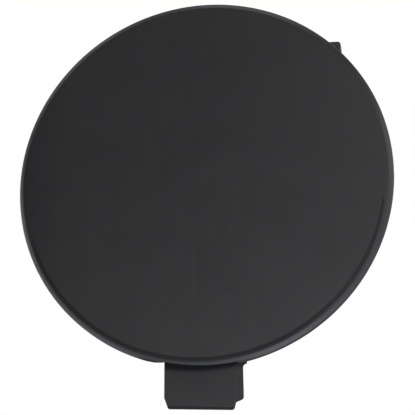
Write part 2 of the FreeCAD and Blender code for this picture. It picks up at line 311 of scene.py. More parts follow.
class TOWCOVER_PG_plastic(PropertyGroup):
    """Finish of the moulded plastic."""

    base: colour("Base", "Body colour of the plastic", (0.0288, 0.0284, 0.0302))
    # Painted shade: the colour that darkens the face towards its left edge.
    margin_shade: colour("Fresh", "Darker colour of the left margin", (0.0205, 0.0205, 0.0225))
    bloom: colour("Bloom", "Greyer colour where the surface has weathered", (0.0345, 0.0340, 0.0352))
    # Painted highlight: a paler colour, with its width and where it is strongest, that stands in for light on
    # the rim's edge and on the catches.
    highlit: colour("Rubbed", "Paler colour of rubbed edges", (0.13, 0.13, 0.133))
    # Painted shade colour for the crease's line, the recess behind the rim and the tongue's tip.
    shaded: colour("Shaded", "Darker colour in creases", (0.002, 0.002, 0.0025))
    speck: colour("Speck", "Colour of specks on the face", (0.011, 0.011, 0.012))
    roughness: share("Roughness", "Roughness of the satin face", 0.42)
    # Roughness within the painted shade of the crease, the recess and the tongue's tip.
    dull: share("Dull Roughness", "Roughness where dirt dulls the surface", 1.0)
    roughness_spread: share("Roughness Spread", "How much the roughness varies", 0.05)
    # The crease settings place a painted shade line in the turn of the rim.
    crease_width: length("Crease Width", "Width of the dark line in the turn of the rim", 0.0011)
    crease_top: offset("Crease Top", "Height at which the dark line stops at the right", -0.0051)
    crease_run: length("Crease Run", "Height over which the dark line widens from its end", 0.012)
    crease_shift: length("Crease Shift", "How far its end lies towards the middle of the face", 0.00028)
    highlight_width: length("Rub Width", "Width of the paler band round the rim's edge", 0.0011)
    highlight_angle: angle("Rub Angle", "Where the rim is rubbed most, counted down from the left", 20)
    grain: level("Grain", "Grains of the moulded texture in a metre", 3200.0)
    grain_height: length("Grain Height", "Height of the moulded texture", 0.000012)
    wave: level("Wave", "Slow waves of the moulded face in a metre", 42.0)
    wave_height: length("Wave Height", "Height of the slow waves", 0.000006)


class TOWCOVER_PG_studio(PropertyGroup):
    """Camera, floor and lamps."""

    target: FloatVectorProperty(name="Target", description="Point that the camera looks at", size=3,
                                default=(0.00079, 0.0, -0.00517), subtype="XYZ", unit="LENGTH", precision=5)
    distance: length("Distance", "Camera to target", 0.26)
    azimuth: angle("Azimuth", "Camera's way round the cover, to the right of its front", 10.46)
    elevation: angle("Elevation", "Camera above the horizon", -16.65)
    roll: angle("Roll", "Turn of the camera about its own line of sight", 0.95)
    lens: FloatProperty(name="Lens", description="Focal length for a 36 mm sensor", default=122.65,
                        min=1.0, subtype="DISTANCE_CAMERA")
    floor_height: offset("Floor Height", "Height of the floor", -0.5)
    floor_colour: colour("Floor Colour", "Colour of the floor", (0.82, 0.82, 0.82))
    floor_glow: level("Floor Glow", "Light that the camera sees from the floor by itself", 0.85)
    surroundings: level("Surroundings", "Brightness of the studio's walls", 0.068)


def stand(name, data):
    """New object in the scene."""
    made = bpy.data.objects.new(name, data)
    bpy.context.scene.collection.objects.link(made)
    return made


def form_from(name, builder):
    """Object made from a bmesh, in place of an earlier one of that name."""
    old = bpy.data.objects.get(name)
    if old is not None:
        bpy.data.objects.remove(old)
    mesh = bpy.data.meshes.new(name)
    bmesh.ops.remove_doubles(builder, verts=builder.verts, dist=MERGE_DISTANCE)
    bmesh.ops.recalc_face_normals(builder, faces=builder.faces)
    builder.to_mesh(mesh)
    builder.free()
    return stand(name, mesh)


def turned(name, profile, steps, closed):
    """Solid turned about the Y axis from points (radius, y); an open profile starts and ends on the axis."""
    builder = bmesh.new()
    points = [builder.verts.new((radius, y, 0.0)) for radius, y in profile]
    lines = [builder.edges.new(pair) for pair in zip(points, points[1:])]
    if closed:
        lines.append(builder.edges.new((points[-1], points[0])))
    bmesh.ops.spin(builder, geom=points + lines, cent=(0, 0, 0), axis=(0, 1, 0), angle=FULL_TURN,
                   steps=steps, use_merge=True)
    return form_from(name, builder)


def prism(name, outline, way):
    """Straight solid from a closed loop of 3-D points, pushed along a vector."""
    builder = bmesh.new()
    face = builder.faces.new([builder.verts.new(point) for point in outline])
    pushed = bmesh.ops.extrude_face_region(builder, geom=[face])
    moved = [part for part in pushed["geom"] if isinstance(part, bmesh.types.BMVert)]
    bmesh.ops.translate(builder, verts=moved, vec=way)
    return form_from(name, builder)


def block(name, low, high):
    low, high = Vector(low), Vector(high)
    outline = [(low.x, low.y, low.z), (high.x, low.y, low.z), (high.x, low.y, high.z), (low.x, low.y, high.z)]
    return prism(name, outline, (0, high.y - low.y, 0))


def arc(centre, start, end, steps):
    """Points of the shorter arc about a centre from one point to another, in two dimensions."""
    centre, start, end = Vector(centre), Vector(start), Vector(end)
    first = math.atan2(start.y - centre.y, start.x - centre.x)
    turn = math.atan2(end.y - centre.y, end.x - centre.x) - first
    turn = (turn + math.pi) % FULL_TURN - math.pi
    radius = (start - centre).length
    sweep = [first + turn * step / steps for step in range(steps + 1)]
    return [Vector((centre.x + radius * math.cos(t), centre.y + radius * math.sin(t))) for t in sweep]


def rounded_corner(before, corner, after, radius, steps):
    """Points of the round that replaces a corner between two straight lines."""
    before, corner, after = Vector(before), Vector(corner), Vector(after)
    back = (before - corner).normalized()
    onward = (after - corner).normalized()
    half = back.angle(onward) / 2
    setback = radius / math.tan(half)
    centre = corner + (back + onward).normalized() * (radius / math.sin(half))
    return arc(centre, corner + back * setback, corner + onward * setback, steps)


def apply_modifiers(form):
    """The form's mesh becomes what its modifiers make of it."""
    shaped = form.evaluated_get(bpy.context.evaluated_depsgraph_get())
    mesh = bpy.data.meshes.new_from_object(shaped)
    old = form.data
    form.modifiers.clear()
    form.data = mesh
    mesh.name = form.name
    bpy.data.meshes.remove(old)


def combine(form, tools, operation):
    """Joins the tools to the form or cuts them from it, and removes them."""
    for tool in tools:
        join = form.modifiers.new(tool.name, "BOOLEAN")
        join.operation = operation
        join.solver = "MANIFOLD"
        join.object = tool
    apply_modifiers(form)
    for tool in tools:
        bpy.data.objects.remove(tool)


def round_edges(form, radius, steps=3, sharper_than=30):
    """Small moulded radius on every edge that turns by more than an angle in degrees."""
    weld = form.modifiers.new("short edges", "WELD")
    weld.merge_threshold = SHORT_EDGE_SHARE * radius  # a shorter edge would hold the radius back everywhere
    bevel = form.modifiers.new("moulded edges", "BEVEL")
    bevel.limit_method = "ANGLE"
    bevel.angle_limit = math.radians(sharper_than)
    bevel.width = radius
    bevel.segments = steps
    bevel.use_clamp_overlap = True
    apply_modifiers(form)


def settings():
    return bpy.context.scene.tow_cover


def direction(azimuth, elevation):
    """Way out from the cover; azimuth 0 is in front of it and 90 degrees at its right."""
    return Vector((
        math.sin(azimuth) * math.cos(elevation),
        -math.cos(azimuth) * math.cos(elevation),
        math.sin(elevation),
    ))


def face_radius(plate):
    return plate.radius - plate.face_inset


def crown_radius(plate):
    """Radius of the large sphere that the crowned face is part of."""
    return (face_radius(plate) ** 2 + plate.crown ** 2) / (2 * plate.crown)


def crown_y(plate, radius):
    """Where the crowned face is, at this distance from the cover's axis."""
    sphere = crown_radius(plate)
    return sphere - plate.rim_depth - plate.crown - math.sqrt(sphere ** 2 - radius ** 2)


def plate_inside(plate):
    """Where the flat inside of the plate is."""
    return plate.wall - plate.rim_depth - plate.crown


def collar_radius(cover):
    return cover.plate.radius - cover.collar.seat_width


def root_start(cover):
    """Where walls that stand on the plate begin, halfway into it."""
    return plate_inside(cover.plate) - cover.plate.wall / 2


class Step:
    """What the operators share."""

    bl_options = {"REGISTER", "UNDO"}


class TOWCOVER_OT_front_plate(Step, Operator):
    """Crowned disc with a bevelled rim, and a notch in the back of the rim in front of the tongue"""

    bl_idname = "towcover.front_plate"
    bl_label = "Front Plate"

    face_rings: count("Face Rings", "Rings across the crowned face", 16, 2)
    turn_steps: count("Turn Steps", "Flat steps in the round between the face and the bevel", 8, 2)
    corner_steps: count("Corner Steps", "Flat steps in the round between the bevel and the rim", 5, 1)
    back_steps: count("Back Steps", "Flat steps in the round between the rim and the seat", 4, 1)

    def execute(self, context):
        cover = settings()
        plate = cover.plate
        face_edge = face_radius(plate)
        face = [(face_edge * ring / self.face_rings, crown_y(plate, face_edge * ring / self.face_rings))
                for ring in range(self.face_rings)]
        inside = plate_inside(plate)
        back = collar_radius(cover) - cover.collar.wall / 2
        profile = face + self.rim_profile(plate) + [(back, 0), (back, inside), (0, inside)]
        form = turned(PLATE_FORM, profile, plate.turn_steps, closed=False)
        combine(form, [self.relief(cover)], "DIFFERENCE")
        return {"FINISHED"}

    def rim_profile(self, plate):
        """Points (radius, y) from the edge of the face over the bevel to the seat."""
        tilt = math.asin(face_radius(plate) / crown_radius(plate))
        face_edge = Vector((face_radius(plate), -plate.rim_depth))
        centre = face_edge + Vector((-math.sin(tilt), math.cos(tilt))) * plate.turn
        tilts = [tilt + (plate.bevel - tilt) * step / self.turn_steps for step in range(self.turn_steps + 1)]
        turn = [centre + Vector((math.sin(t), -math.cos(t))) * plate.turn for t in tilts]
        bevel_rise = (plate.radius - turn[-1].x) * math.tan(plate.bevel)
        corner = (plate.radius, turn[-1].y + bevel_rise)
        seat_corner = (plate.radius, 0)
        side = rounded_corner(turn[-1], corner, seat_corner, plate.rim_corner, self.corner_steps)
        seat = rounded_corner(corner, seat_corner, (0, 0), plate.seat_edge, self.back_steps)
        return [tuple(point) for point in turn + side + seat]

    def relief(self, cover):
        """Tool for the notch, with ramped ends."""
        plate, tongue = cover.plate, cover.tongue
        left = tongue.centre - tongue.width / 2
        right = tongue.centre + tongue.width / 2 + plate.relief_margin
        low = -plate.radius - tongue.reach
        run_left = plate.ramp_left - plate.bend_left
        loop = [
            (left - plate.bend_left, -plate.bend_depth),
            (left + plate.bend_depth, -plate.relief_left),
            (right, -plate.relief_right),
            (right + 2 * plate.ramp_right, plate.relief_right),
            (left - plate.bend_left - 2 * run_left, plate.bend_depth),
        ]
        return prism("relief", [(x, y, low) for x, y in loop], (0, 0, -low - collar_radius(cover)))


class TOWCOVER_OT_collar(Step, Operator):
    """Round wall that enters the bumper's opening, open where the snap hooks stand"""

    bl_idname = "towcover.collar"
    bl_label = "Collar"

    edge_steps: count("Edge Steps", "Flat steps in each round at the mouth", 3, 1)

    def execute(self, context):
        cover = settings()
        collar = cover.collar
        outer = collar_radius(cover)
        inner = outer - collar.wall
        draft_start = (outer, cover.tongue.front)
        lead_start = (outer - collar.draft, collar.depth - collar.lead)
        lead_end = (outer - collar.draft - collar.lead, collar.depth)
        mouth = (inner + collar.draft, collar.depth)
        inside = (inner, plate_inside(cover.plate))
        rounds = []
        path = [draft_start, lead_start, lead_end, mouth, inside]
        for before, corner, after in zip(path, path[1:], path[2:]):
            points = rounded_corner(before, corner, after, collar.edge, self.edge_steps)
            rounds += [tuple(point) for point in points]
        profile = [(inner, root_start(cover)), (outer, root_start(cover)), draft_start, *rounds, inside]
        form = turned(COLLAR_FORM, profile, cover.plate.turn_steps, closed=True)
        slots = [block(f"slot_{index}", (low - collar.slot_gap, 0, 0),
                       (high + collar.slot_gap, 2 * collar.depth, cover.plate.radius))
                 for index, (low, high) in enumerate(hook_sides(cover))]
        combine(form, slots, "DIFFERENCE")
        return {"FINISHED"}


class TOWCOVER_OT_stiffening_ribs(Step, Operator):
    """Round rib and spokes on the back of the plate"""

    bl_idname = "towcover.stiffening_ribs"
    bl_label = "Stiffening Ribs"

    def execute(self, context):
        cover = settings()
        ribs = cover.ribs
        half = ribs.thickness / 2
        start = root_start(cover)
        inner, outer = ribs.ring_radius - half, ribs.ring_radius + half
        profile = [(inner, start), (outer, start), (outer, ribs.height), (inner, ribs.height)]
        form = turned(RIBS_FORM, profile, cover.plate.turn_steps // 2, closed=True)
        reach = collar_radius(cover) - cover.collar.wall / 2
        spokes = []
        for index in range(round(FULL_TURN / ribs.step)):
            if index in HOOK_SPOKES:
                continue  # the snap hooks stand here
            spoke = block(f"spoke_{index}", (ribs.ring_radius, start, -half), (reach, ribs.height, half))
            spoke.data.transform(Matrix.Rotation(-index * ribs.step, 4, "Y"))
            spokes.append(spoke)
        combine(form, spokes, "UNION")
        round_edges(form, ribs.edge)
        return {"FINISHED"}


class TOWCOVER_OT_tongue(Step, Operator):
    """Channel of a front wall and two cheeks, with a tapered lip and raked cheek ends"""

    bl_idname = "towcover.tongue"
    bl_label = "Tongue"

    corner_steps: count("Corner Steps", "Flat steps in each round corner", 5, 1)

    def execute(self, context):
        cover = settings()
        tongue = cover.tongue
        self.left = tongue.centre - tongue.width / 2
        self.right = tongue.centre + tongue.width / 2
        self.tip = -cover.plate.radius - tongue.reach
        self.inner = collar_radius(cover) - cover.collar.wall
        self.corner_z = self.tip + tongue.lip_length + tongue.rise
        self.back_root = tongue.front + tongue.depth
        self.back_end = self.back_root - math.tan(tongue.slope) * (self.corner_z + self.inner)
        depth = self.back_end - tongue.front
        outline = [(x, tongue.front, z) for x, z in self.front_outline(cover)]
        form = prism(TONGUE_FORM, outline, (0, depth, 0))
        channel_half = tongue.width / 2 - tongue.cheek
        channel = block("channel", (tongue.centre - channel_half, tongue.front + tongue.plate, 2 * self.tip),
                        (tongue.centre + channel_half, 2 * self.back_end, -collar_radius(cover)))
        mouth = self.inner + cover.collar.draft
        bore = turned("bore", [(0, 0), (mouth, 0), (mouth, 2 * self.back_end), (0, 2 * self.back_end)],
                      cover.plate.turn_steps, closed=False)
        combine(form, [channel, self.cheek_waste(tongue), self.lip_bevel(tongue)], "DIFFERENCE")
        round_edges(form, tongue.edge)
        combine(form, [bore], "DIFFERENCE")
        return {"FINISHED"}

    def front_outline(self, cover):
        """Loop of (x, z) round the tongue and the foot that follows the collar."""
        tongue = cover.tongue
        tip_left = (self.left + tongue.taper_left, self.tip + tongue.tip_slant / 2)
        tip_right = (self.right - tongue.taper_right, self.tip - tongue.tip_slant / 2)
        taper_left = (self.left, self.tip + tongue.taper_left_length)
        taper_right = (self.right, self.tip + tongue.taper_right_length)
        foot_left, foot_right = self.left - tongue.foot, self.right + tongue.foot
        left_flare = self.root_flare(cover, self.left - tongue.draft_left, -1)
        right_flare = self.root_flare(cover, self.right, 1)
        corner = rounded_corner(tip_left, tip_right, taper_right, tongue.tip_corner, self.corner_steps)
        top = cover.collar.wall - math.sqrt(self.inner ** 2 - foot_left ** 2)
        loop = [(foot_left, top), self.on_collar(cover, foot_left), *left_flare[::-1],
                taper_left, tip_left, *corner, taper_right,
                *right_flare, self.on_collar(cover, foot_right), (foot_right, top)]
        return [tuple(point) for point in loop]

    def on_collar(self, cover, x):
        """Point of the collar's outside at an X."""
        return (x, -math.sqrt(collar_radius(cover) ** 2 - x ** 2))

    def root_flare(self, cover, side, way):
        """Concave fillet from a side of the tongue to the collar."""
        fillet = cover.tongue.root_fillet
        reach = collar_radius(cover) + fillet
        centre_x = side + way * fillet
        centre = Vector((centre_x, -math.sqrt(reach ** 2 - centre_x ** 2)))
        on_collar = centre * (collar_radius(cover) / reach)
        return arc(centre, (side, centre.y), on_collar, self.corner_steps)

    def cheek_waste(self, tongue):
        """What is cut away behind the lip and behind the cheeks."""
        rake = tongue.rise / (self.back_end - tongue.front)
        lip_back = tongue.front + tongue.lip_thickness
        lip_top = (lip_back, self.tip + tongue.lip_length + rake * tongue.lip_thickness)
        corner = (self.back_end, self.corner_z)
        back_top = (self.back_root, -self.inner)
        corner_round = rounded_corner(lip_top, corner, back_top, tongue.cheek_corner, self.corner_steps)
        far = 2 * self.back_end
        loop = [lip_top, *corner_round, back_top, (self.back_root, 0), (far, 0), (far, 2 * self.tip),
                (lip_back, 2 * self.tip)]
        outline = [(2 * self.left, y, z) for y, z in loop]
        return prism("cheek_waste", outline, (2 * (self.right - self.left), 0, 0))

    def lip_bevel(self, tongue):
        """Wedge cut from the front of the lip."""
        start = (tongue.front, self.tip + tongue.bevel_length)
        end = (tongue.front + 2 * tongue.bevel_depth, self.tip - tongue.bevel_length)
        before = tongue.front - tongue.bevel_depth
        loop = [start, end, (before, end[1]), (before, start[1])]
        outline = [(2 * self.left, y, z) for y, z in loop]
        return prism("lip_bevel", outline, (2 * (self.right - self.left), 0, 0))


def leg_top(cover):
    """Height of the outer side of the hooks' legs."""
    hooks = cover.hooks
    return (collar_radius(cover) - hooks.corner_inset) * math.cos(hooks.corner_angle)


def hook_sides(cover):
    """Lower and upper X of each of the two hooks, at the outer corner of its leg."""
    hooks = cover.hooks
    outer = (collar_radius(cover) - hooks.corner_inset) * math.sin(hooks.corner_angle)
    return [(outer - hooks.width, outer), (-outer, hooks.width - outer)]


class TOWCOVER_OT_snap_hooks(Step, Operator):
    """Pair of legs that stand on the plate, bend back on themselves and end in a catch"""

    bl_idname = "towcover.snap_hooks"
    bl_label = "Snap Hooks"

    bend_steps: count("Bend Steps", "Flat steps round the bend", 20, 4)
    fillet_steps: count("Fillet Steps", "Flat steps in each root fillet", 6, 1)

    def execute(self, context):
        cover = settings()
        loop = self.side_outline(cover)
        hooks = []
        for index, (low, high) in enumerate(hook_sides(cover)):
            outline = [(low - cover.hooks.leg, y, z) for y, z in loop]
            name = HOOKS_FORM if index == 0 else "second_hook"
            hook = prism(name, outline, (high - low + 2 * cover.hooks.leg, 0, 0))
            combine(hook, [self.drafted_sides(cover, low, high)], "INTERSECT")
            hooks.append(hook)
        combine(hooks[0], hooks[1:], "UNION")
        round_edges(hooks[0], cover.hooks.edge)
        return {"FINISHED"}

    def drafted_sides(self, cover, low, high):
        """Block whose sides draw in towards the catch, with its two top corners rounded."""
        hooks, leg_out = cover.hooks, leg_top(cover)
        drop = hooks.leg + 2 * hooks.root_fillet
        spread, draw = drop * math.tan(hooks.draft), hooks.rise * math.tan(hooks.draft)
        bottom_left, bottom_right = (low - spread, leg_out - drop), (high + spread, leg_out - drop)
        top_left, top_right = (low + draw, leg_out + hooks.rise), (high - draw, leg_out + hooks.rise)
        loop = [
            bottom_left,
            bottom_right,
            *rounded_corner(bottom_right, top_right, top_left, hooks.corner, self.fillet_steps),
            *rounded_corner(top_right, top_left, bottom_left, hooks.corner, self.fillet_steps),
        ]
        start = -cover.plate.radius
        return prism("drafted_sides", [(x, start, z) for x, z in loop], (0, -2 * start, 0))

    def side_outline(self, cover):
        """Loop of (y, z) round a hook, seen from its side."""
        hooks, leg_out = cover.hooks, leg_top(cover)
        leg_in = leg_out - hooks.leg
        top = leg_out + hooks.rise
        off_arm = Vector((math.sin(hooks.slope), math.cos(hooks.slope)))
        along_arm = Vector((-math.cos(hooks.slope), math.sin(hooks.slope)))
        off_leg = Vector((0, -1))
        bend_outer = hooks.bend + hooks.leg / 2
        bend_inner = hooks.bend - hooks.leg / 2
        land_back = Vector((hooks.catch + hooks.land, top))
        bend_z = leg_out - hooks.leg / 2 + hooks.bend
        run = ((top - bend_z) * math.cos(hooks.slope) - bend_outer) / math.sin(hooks.slope)
        bend = Vector((land_back.x + run, bend_z))
        arm_back = bend + off_arm * (bend_outer - hooks.arm)
        catch_low = arm_back + along_arm * ((arm_back.x - hooks.catch) / math.cos(hooks.slope))

        inside = plate_inside(cover.plate)
        fillet = hooks.root_fillet
        lower = arc((inside + fillet, leg_in - fillet), (inside, leg_in - fillet),
                    (inside + fillet, leg_in), self.fillet_steps)
        upper = arc((inside + fillet, leg_out + fillet), (inside + fillet, leg_out),
                    (inside, leg_out + fillet), self.fillet_steps)
        outside_bend = self.half_turn(bend, off_leg, off_arm, bend_outer)
        inside_bend = self.half_turn(bend, off_leg, off_arm, bend_inner)[::-1]
        start = root_start(cover)
        loop = [(start, leg_in - fillet), *lower, *outside_bend, land_back, (hooks.catch, top), catch_low,
                arm_back, *inside_bend, *upper, (start, leg_out + fillet)]
        return [tuple(point) for point in loop]

    def half_turn(self, centre, first, last, radius):
        """Points round the bend, from below the leg past the back to the outside of the arm."""
        begin = math.atan2(first.y, first.x)
        sweep = math.atan2(last.y, last.x) - begin
        turns = [begin + sweep * step / self.bend_steps for step in range(self.bend_steps + 1)]
        return [centre + Vector((math.cos(t), math.sin(t))) * radius for t in turns]


class TOWCOVER_OT_moulding(Step, Operator):
    """Joins the forms into one moulding with the marks of its mould, and gives it its plastic"""

    bl_idname = "towcover.moulding"
    bl_label = "Moulding"

    smooth_below: angle("Smooth Below", "Edges that turn by less are shaded smooth", 32)
    mark_steps: count("Mark Steps", "Flat steps round an ejector pin's mark", 48, 3)
    stub_steps: count("Stub Steps", "Flat steps round the sprue's stub", 32, 3)

    def execute(self, context):
        missing = [name for name in FORMS if name not in bpy.data.objects]
        if missing:
            raise RuntimeError(f"make these forms first: {missing}")
        cover = settings()
        plate = bpy.data.objects[PLATE_FORM]
        combine(plate, [bpy.data.objects[name] for name in FORMS[1:]], "UNION")
        combine(plate, self.ejector_marks(cover), "DIFFERENCE")
        combine(plate, [self.gate_stub(cover)], "UNION")
        plate.name = MOULDING_NAME
        plate.data.name = MOULDING_NAME
        self.shade(plate)
        plate.data.materials.clear()
        plate.data.materials.append(satin_plastic(cover))
        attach(plate, COVER_BODY)
        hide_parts(COVER_NODE)
        return {"FINISHED"}

    def ejector_marks(self, cover):
        """Shallow round tools, between the spokes."""
        ribs = cover.ribs
        inside = plate_inside(cover.plate)
        marks = []
        for index in range(round(FULL_TURN / ribs.step) // 2):
            turn = (2 * index + 0.5) * ribs.step
            profile = [(0, inside - ribs.pin_depth), (ribs.pin_radius, inside - ribs.pin_depth),
                       (ribs.pin_radius, inside + ribs.pin_depth), (0, inside + ribs.pin_depth)]
            mark = turned(f"ejector_mark_{index}", profile, self.mark_steps, closed=False)
            place = Vector((math.cos(turn), 0, -math.sin(turn))) * ribs.pin_circle
            mark.data.transform(Matrix.Translation(place))
            marks.append(mark)
        return marks

    def gate_stub(self, cover):
        """Cut-off stub of the sprue, in the middle of the back."""
        ribs = cover.ribs
        inside = plate_inside(cover.plate)
        profile = [(0, root_start(cover)), (ribs.gate_radius, root_start(cover)),
                   (ribs.gate_radius, inside + ribs.gate_height), (0, inside + ribs.gate_height)]
        return turned("gate_stub", profile, self.stub_steps, closed=False)

    def shade(self, piece):
        mesh = piece.data
        mesh.shade_smooth()
        mesh.set_sharp_from_angle(angle=self.smooth_below)
        normals = piece.modifiers.new("even shading", "WEIGHTED_NORMAL")
        normals.keep_sharp = True
        normals.weight = NORMAL_WEIGHT
        apply_modifiers(piece)


class NodeMaker:
    """Adds and links the nodes of a material or a world."""

    def __init__(self, owner):
        owner.use_nodes = True
        self.tree = owner.node_tree
        self.tree.nodes.clear()

    def add(self, kind, inputs=None, **values):
        """A shader node with its settings; inputs maps a socket to a value or another node's output."""
        node = self.tree.nodes.new(f"ShaderNode{kind}")
        for key, value in values.items():
            setattr(node, key, value)
        for socket, value in (inputs or {}).items():
            if isinstance(value, bpy.types.NodeSocket):
                self.tree.links.new(value, node.inputs[socket])
            else:
                node.inputs[socket].default_value = value
        return node

    def maths(self, operation, *values, clamp=False):
        inputs = {index: value for index, value in enumerate(values)}
        return self.add("Math", inputs, operation=operation, use_clamp=clamp).outputs[0]

    def both(self, first, *others):
        """Product of several shares."""
        for other in others:
            first = self.maths("MULTIPLY", first, other)
        return first

    def noise(self, vector, scale, detail=2.0, roughness=0.5):
        return self.add("TexNoise", {
            "Vector": vector, "Scale": scale, "Detail": detail, "Roughness": roughness,
        }).outputs["Fac"]

    def between(self, value, low, high, to_low=0.0, to_high=1.0):
        """The value's place from low to high, softly, as a number from to_low to to_high."""
        return self.add("MapRange", {
            "Value": value, "From Min": low, "From Max": high, "To Min": to_low, "To Max": to_high,
        }, interpolation_type="SMOOTHSTEP").outputs["Result"]

    def past(self, value, place, start, end):
        """Sets in between two distances from a place."""
        return self.between(value, place + start, place + end)

    def pattern(self, vector, pattern):
        noise = self.noise(vector, pattern.scale, detail=3.0)
        return self.between(noise, pattern.low, pattern.high, pattern.least, pattern.most)

    def mix(self, factor, first, second):
        return self.add("Mix", {0: factor, 6: first, 7: second}, data_type="RGBA").outputs[2]


def opaque(rgb):
    return (*rgb, 1.0)


class Surface:
    """Places on the cover that the finish depends on."""

    def __init__(self, make):
        self.place = make.add("TexCoord").outputs["Object"]
        split = make.add("SeparateXYZ", {"Vector": self.place})
        self.x, self.y, self.z = (split.outputs[axis] for axis in "XYZ")
        squares = make.maths("ADD", make.both(self.x, self.x), make.both(self.z, self.z))
        self.radius = make.maths("SQRT", squares)


def weathered_body(make, plastic, surface):
    """Body colour with a faint mottle, flow streaks down the lower half, a blotched tongue and painted shade
    towards the left edge.
    """
    stretched = make.add("Mapping", {"Vector": surface.place, "Scale": STREAK_SCALES})
    streaks = make.both(make.pattern(stretched.outputs["Vector"], FLOW_STREAKS),
                        make.between(surface.z, *STREAKS_SET_IN))
    lowest = make.between(surface.z, *LOWEST_SETS_IN, 0.0, LOWEST_STRENGTH)
    on_tongue = make.both(make.between(surface.z, *TONGUE_SETS_IN),
                          make.pattern(surface.place, TONGUE_BLOTCHES), TONGUE_STRENGTH)
    mottle = make.maths("ADD", make.pattern(surface.place, MOTTLE), make.pattern(surface.place, FINE_MOTTLE))
    weathering = make.maths("ADD", make.maths("ADD", mottle, streaks), lowest)
    weathering = make.maths("ADD", weathering, on_tongue, clamp=True)
    body = make.mix(weathering, opaque(plastic.base), opaque(plastic.bloom))
    # Painted shade: the face darkens towards its left edge.
    margin = make.between(surface.x, *MARGIN_SHADE_SETS_IN)
    return make.mix(make.both(margin, MARGIN_SHADE_STRENGTH), body, opaque(plastic.margin_shade))


def painted_crease_shade(make, plastic, plate, surface):
    """Painted shade: a dark line in the turn of the rim's lower half; it starts thin at the right and fades
    at the left.
    """
    run = make.between(surface.z, plastic.crease_top, plastic.crease_top - plastic.crease_run)
    middle = face_radius(plate) + CREASE_INSET
    off_middle = make.maths("ADD", make.maths("SUBTRACT", surface.radius, middle), make.both(
        make.maths("SUBTRACT", 1.0, run), plastic.crease_shift))
    off_middle = make.maths("ADD", off_middle, make.between(surface.x, *CREASE_MOVES_IN))
    off_middle = make.maths("ABSOLUTE", off_middle)
    half = make.maths("MULTIPLY_ADD", run, plastic.crease_width / 4, plastic.crease_width / 4)
    line = make.between(make.maths("DIVIDE", off_middle, half), *CREASE_EDGE)
    below = make.past(surface.z, plastic.crease_top, *CREASE_PAST_TOP)
    front = make.between(surface.y, *CREASE_PAST_SEAT)
    strength = make.between(surface.x, *CREASE_STRENGTH)
    onset = make.maths("MAXIMUM", make.between(surface.z, *CREASE_SETS_IN_LEFT),
                       make.maths("GREATER_THAN", surface.x, 0.0))
    return make.both(line, below, front, strength, onset)


def recess_share(make, cover, surface):
    """Deep shade on the collar and the tongue's root, behind the rim; it reaches furthest at the left."""
    tongue, collar = cover.tongue, collar_radius(cover)
    behind_rim = make.past(surface.y, -cover.plate.relief_left, *SHADE_PAST_RIM)
    behind_front = make.maths("MAXIMUM", make.maths("SUBTRACT", surface.y, tongue.front), 0.0)
    reach = make.maths("SUBTRACT", surface.radius, collar)
    reach = make.maths("MULTIPLY_ADD", surface.x, SHADE_LEAN, reach)
    reach = make.maths("MULTIPLY_ADD", behind_front, SHADE_LEAN_BACK, reach)
    near = make.between(reach, *SHADE_REACH)
    outside = make.past(surface.radius, collar, *SHADE_PAST_COLLAR)
    off_middle = make.maths("ABSOLUTE", make.maths("SUBTRACT", surface.x, tongue.centre))
    below = make.both(make.past(surface.z, -collar, *SHADE_ABOVE_FOOT),
                      make.past(off_middle, tongue.width / 2, *SHADE_BESIDE_TONGUE))
    before_channel = make.past(surface.y, tongue.front, *SHADE_PAST_FRONT)
    on_side = make.past(off_middle, tongue.width / 2, *SHADE_PAST_SIDE)
    shown = make.maths("MAXIMUM", before_channel, on_side)
    return make.both(behind_rim, near, outside, below, shown)


def painted_tip_shade(make, cover, surface):
    """Painted shade, with dull roughness, along the edge across the tip of the tongue."""
    plate, tongue = cover.plate, cover.tongue
    across = tongue.width - tongue.taper_left - tongue.taper_right
    slant = make.both(make.maths("SUBTRACT", surface.x, tongue.centre), tongue.tip_slant / across)
    above_tip = make.maths("ADD", make.maths("ADD", surface.z, slant), plate.radius + tongue.reach)
    return make.both(make.between(above_tip, *TIP_HEIGHT),
                     make.past(surface.y, tongue.front, *TIP_PAST_FRONT))


def painted_highlight_share(make, plastic, cover, surface):
    """Painted highlight on the corner of the rim, most at its lower left, and on the catches."""
    plate, hooks = cover.plate, cover.hooks
    way = make.maths("ADD", make.both(surface.x, -math.cos(plastic.highlight_angle) / plate.radius),
                     make.both(surface.z, -math.sin(plastic.highlight_angle) / plate.radius))
    most = make.maths("MAXIMUM", make.between(way, *HIGHLIGHT_ROUND_RIM), make.between(surface.x, *HIGHLIGHT_AT_RIGHT))
    rim = make.past(surface.radius, plate.radius, -plastic.highlight_width, HIGHLIGHT_PAST_RIM)
    front = make.between(surface.y, *HIGHLIGHT_PAST_SEAT)
    far, near = CATCH_HIGHLIGHT_HALF
    catch = make.both(make.past(surface.z, leg_top(cover) + hooks.rise, *CATCH_HIGHLIGHT_BELOW_TOP),
                      make.past(surface.y, hooks.catch, -far, -near),
                      make.past(surface.y, hooks.catch, far, near))
    return make.maths("MAXIMUM", make.both(rim, front, most), make.both(catch, CATCH_HIGHLIGHT_STRENGTH))


def speck_share(make, surface):
    """A few small dark specks."""
    cells = make.add("TexVoronoi", {"Vector": surface.place, "Scale": SPECK_SCALE})
    tone = make.add("SeparateColor", {"Color": cells.outputs["Color"]}).outputs["Red"]
    return make.both(make.maths("LESS_THAN", cells.outputs["Distance"], SPECK_RADIUS),
                     make.maths("GREATER_THAN", tone, SPECK_RARITY))


